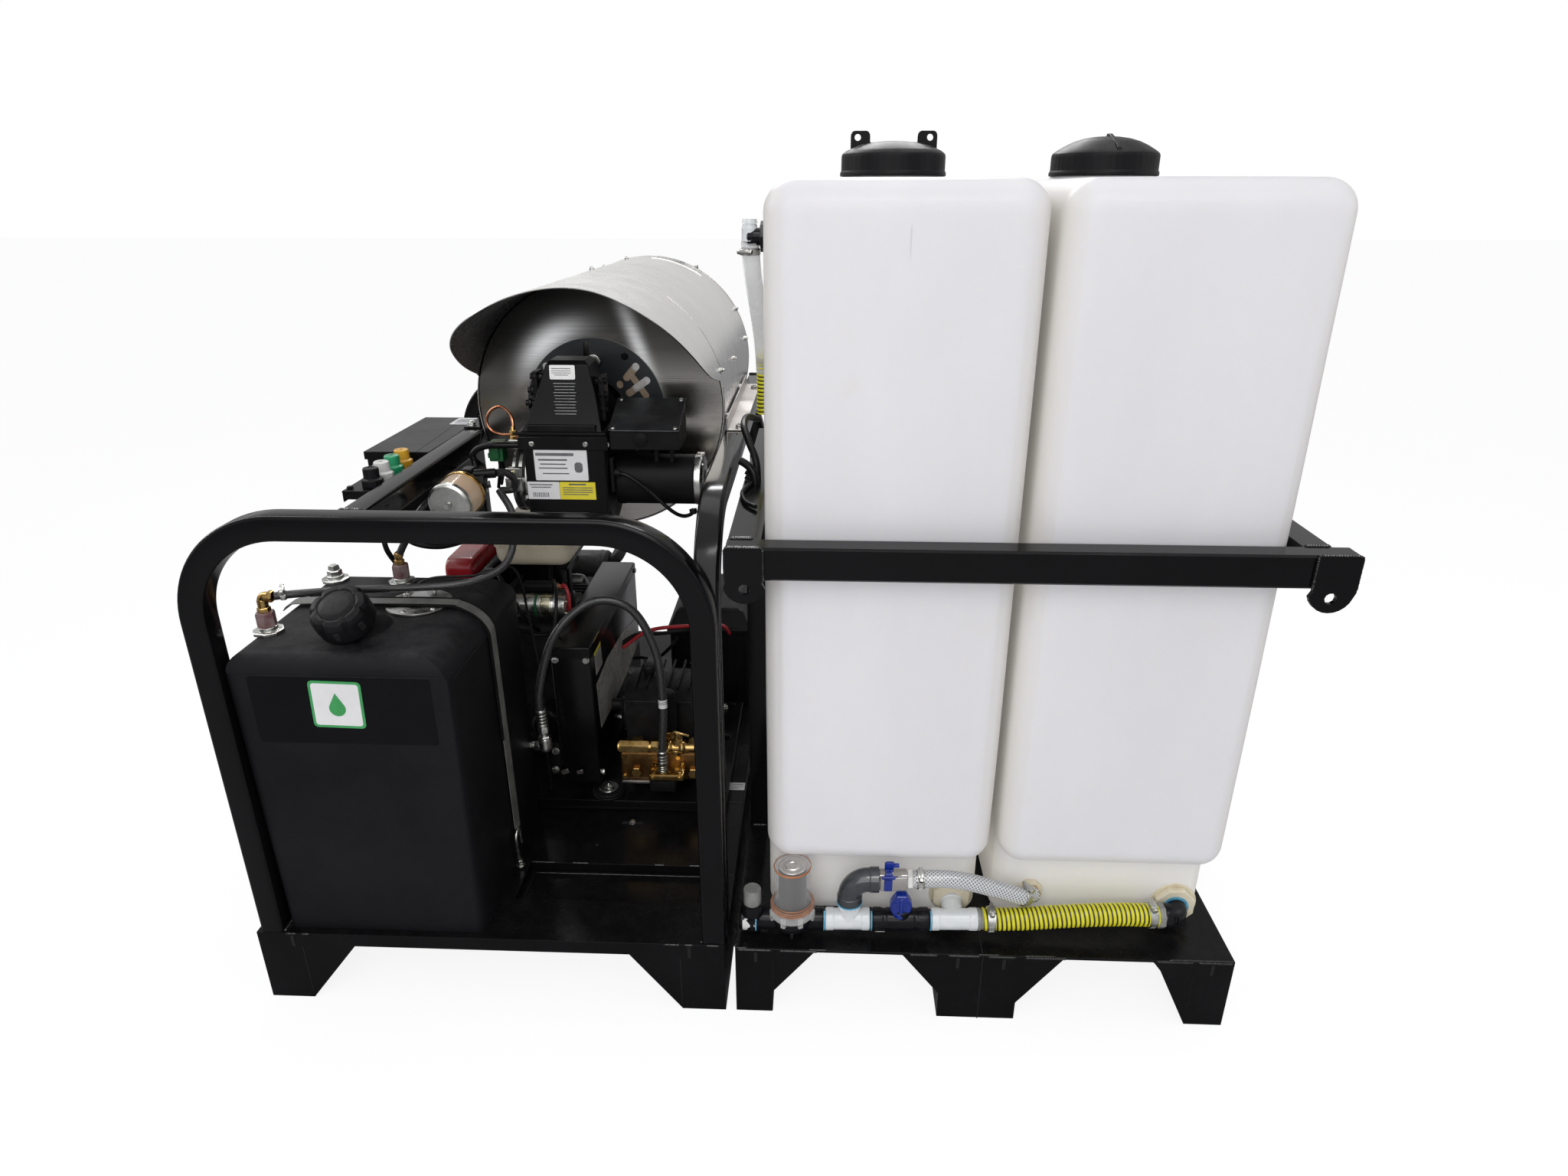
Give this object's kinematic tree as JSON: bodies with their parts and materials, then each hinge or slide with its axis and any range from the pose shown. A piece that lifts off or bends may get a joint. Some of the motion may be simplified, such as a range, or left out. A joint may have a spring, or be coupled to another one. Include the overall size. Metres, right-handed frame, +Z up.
{
  "type": "pressure washer",
  "caption": "Skid-mounted hot-water pressure washer: caged engine, belt-driven pump, oil-fired heating barrel and diesel tank beside a skid of upright water tanks.",
  "frame": {"origin": "on the floor, under the centre of the whole machine (both skids together)", "axes": "+Z up, +X to the right and +Y to the back as the operator stands in front of the diesel tank and the suction plumbing"},
  "size_m": [1.6426, 1.206, 1.362],
  "materials": {
    "powder_coat": "gloss black powder coat on steel tube and plate",
    "black_sheet": "satin black painted sheet metal",
    "black_plastic": "moulded black plastic",
    "black_poly_tank": "rotationally moulded black polyethylene, fine grain",
    "white_poly_tank": "rotationally moulded translucent white polyethylene",
    "stainless": "brushed stainless sheet, grain around the barrel",
    "zinc": "bright zinc plated steel",
    "iron": "dark painted castings and pulleys",
    "cast_alloy": "cast aluminium",
    "brass": "machined and cast brass",
    "rubber": "black rubber",
    "red_cover": "gloss red engine cover",
    "cream_tank": "cream moulded fuel tank",
    "strap": "grey steel strap",
    "white_pvc": "white PVC fittings with blue primer at the joints",
    "grey_pvc": "dark grey PVC elbow",
    "black_pvc": "black PVC and polypropylene fittings",
    "blue_plastic": "blue moulded handle",
    "clear_plastic": "clear plastic bowl",
    "filter_clear": "clear canister with fuel and paper element",
    "yellow_hose": "yellow and black helix suction hose",
    "braided_hose": "clear vinyl hose with white braid",
    "green_plastic": "green nozzle collar",
    "orange_plastic": "yellow-orange nozzle collar",
    "white_plastic": "white nozzle collar"
  },
  "bodies": {
    "chassis": {"battery_box": "black_plastic", "belt_guard": "black_sheet", "burner_housing": "black_sheet", "burner_motor": "powder_coat", "burner_plate": "black_sheet", "bypass_hose": "braided_hose", "bypass_valve": "grey_pvc", "coil_bracket_left": "black_sheet", "coil_bracket_right": "zinc", "coil_front_head": "stainless", "coil_jacket": "stainless", "control_box": "black_sheet", "diesel_tank": "black_poly_tank", "drive_belt": "rubber", "engine_block": "iron", "engine_fan_cover": "red_cover", "engine_fuel_tank": "cream_tank", "engine_plate": "powder_coat", "front_hoop": "powder_coat", "fuel_filter": "filter_clear", "heating_coil": "iron", "junction_box": "black_sheet", "left_top_rail": "powder_coat", "left_water_tank": "white_poly_tank", "machine_base": "powder_coat", "muffler": "iron", "nozzle_rack": "black_sheet", "pressure_hose": "rubber", "pump_body": "iron", "pump_manifold": "brass", "rear_hoop": "powder_coat", "right_top_rail": "powder_coat", "right_water_tank": "white_poly_tank", "sender_plate": "zinc", "starter_motor": "zinc", "strainer_body": "black_pvc", "suction_hose": "yellow_hose", "suction_line": "white_pvc", "tank_base": "powder_coat", "tank_frame": "powder_coat", "tank_outlet_elbow": "black_pvc", "tank_strap": "strap", "unloader_valve": "brass"},
    "left_lid": {"left_tank_lid": "black_plastic"},
    "right_lid": {"right_tank_lid": "black_plastic"},
    "diesel_cap_body": {"diesel_cap": "black_plastic"},
    "box_lid": {"control_box_lid": "black_sheet"},
    "engine_pulley_body": {"engine_pulley": "iron"},
    "pump_pulley_body": {"pump_pulley": "iron"},
    "fan_wheel": {"blower_wheel": "cast_alloy"},
    "air_band_body": {"air_band": "zinc"},
    "igniter_body": {"igniter": "black_sheet"},
    "main_handle": {"main_valve_handle": "blue_plastic"},
    "bypass_lever": {"bypass_valve_lever": "blue_plastic"},
    "bowl": {"strainer_bowl": "clear_plastic"},
    "pressure_knob": {"unloader_knob": "rubber"},
    "tip_black": {"nozzle_black": "black_plastic"},
    "tip_white": {"nozzle_white": "white_plastic"},
    "tip_green": {"nozzle_green": "green_plastic"},
    "tip_orange": {"nozzle_orange": "orange_plastic"}
  },
  "joints": [
    {"name": "left_lid_turn", "type": "hinge", "parent": "chassis", "child": "left_lid", "pos_m": [0.20625, -0.227, 1.296], "axis": [0, 0, 1], "range_deg": [0, 360]},
    {"name": "right_lid_turn", "type": "hinge", "parent": "chassis", "child": "right_lid", "pos_m": [0.52125, -0.227, 1.296], "axis": [0, 0, 1], "range_deg": [0, 360]},
    {"name": "diesel_cap_turn", "type": "hinge", "parent": "chassis", "child": "diesel_cap_body", "pos_m": [-0.61125, -0.492, 0.64], "axis": [-0.05, -0.4998, 0.8647], "range_deg": [0, 270]},
    {"name": "box_lid_hinge", "type": "hinge", "parent": "chassis", "child": "box_lid", "pos_m": [-0.68275, -0.092, 0.8596], "axis": [0, -1, 0], "range_deg": [0, 100]},
    {"name": "engine_shaft_spin", "type": "hinge", "parent": "chassis", "child": "engine_pulley_body", "pos_m": [-0.35925, 0.123, 0.4], "axis": [1, 0, 0], "continuous": true},
    {"name": "pump_shaft_spin", "type": "hinge", "parent": "chassis", "child": "pump_pulley_body", "pos_m": [-0.35925, -0.097, 0.3], "axis": [1, 0, 0], "continuous": true},
    {"name": "fan_spin", "type": "hinge", "parent": "chassis", "child": "fan_wheel", "pos_m": [-0.33125, -0.162, 0.8], "axis": [1, 0, 0], "continuous": true},
    {"name": "air_band_turn", "type": "hinge", "parent": "chassis", "child": "air_band_body", "pos_m": [-0.41925, -0.162, 0.8], "axis": [1, 0, 0], "range_deg": [0, 40]},
    {"name": "igniter_hinge", "type": "hinge", "parent": "chassis", "child": "igniter_body", "pos_m": [-0.33325, -0.14, 0.8935], "axis": [-1, 0, 0], "range_deg": [0, 40]},
    {"name": "main_valve_turn", "type": "hinge", "parent": "chassis", "child": "main_handle", "pos_m": [0.24825, -0.555, 0.19], "axis": [0, 0, 1], "range_deg": [0, 90]},
    {"name": "bypass_valve_turn", "type": "hinge", "parent": "chassis", "child": "bypass_lever", "pos_m": [0.22475, -0.555, 0.2565], "axis": [0, 0, 1], "range_deg": [0, 90]},
    {"name": "strainer_bowl_turn", "type": "hinge", "parent": "chassis", "child": "bowl", "pos_m": [0.06875, -0.555, 0.187], "axis": [0, 0, 1], "range_deg": [0, 360]},
    {"name": "pressure_knob_turn", "type": "hinge", "parent": "chassis", "child": "pressure_knob", "pos_m": [-0.18725, -0.191, 0.3], "axis": [0, 0, 1], "range_deg": [0, 360]},
    {"name": "tip_black_pull", "type": "slide", "parent": "chassis", "child": "tip_black", "axis": [0, 0, 1], "range_m": [0, 0.06]},
    {"name": "tip_white_pull", "type": "slide", "parent": "chassis", "child": "tip_white", "axis": [0, 0, 1], "range_m": [0, 0.06]},
    {"name": "tip_green_pull", "type": "slide", "parent": "chassis", "child": "tip_green", "axis": [0, 0, 1], "range_m": [0, 0.06]},
    {"name": "tip_orange_pull", "type": "slide", "parent": "chassis", "child": "tip_orange", "axis": [0, 0, 1], "range_m": [0, 0.06]}
  ],
  "couplings": [
    {"joint": "pump_shaft_spin", "follows": "engine_shaft_spin", "ratio": 0.5404}
  ]
}
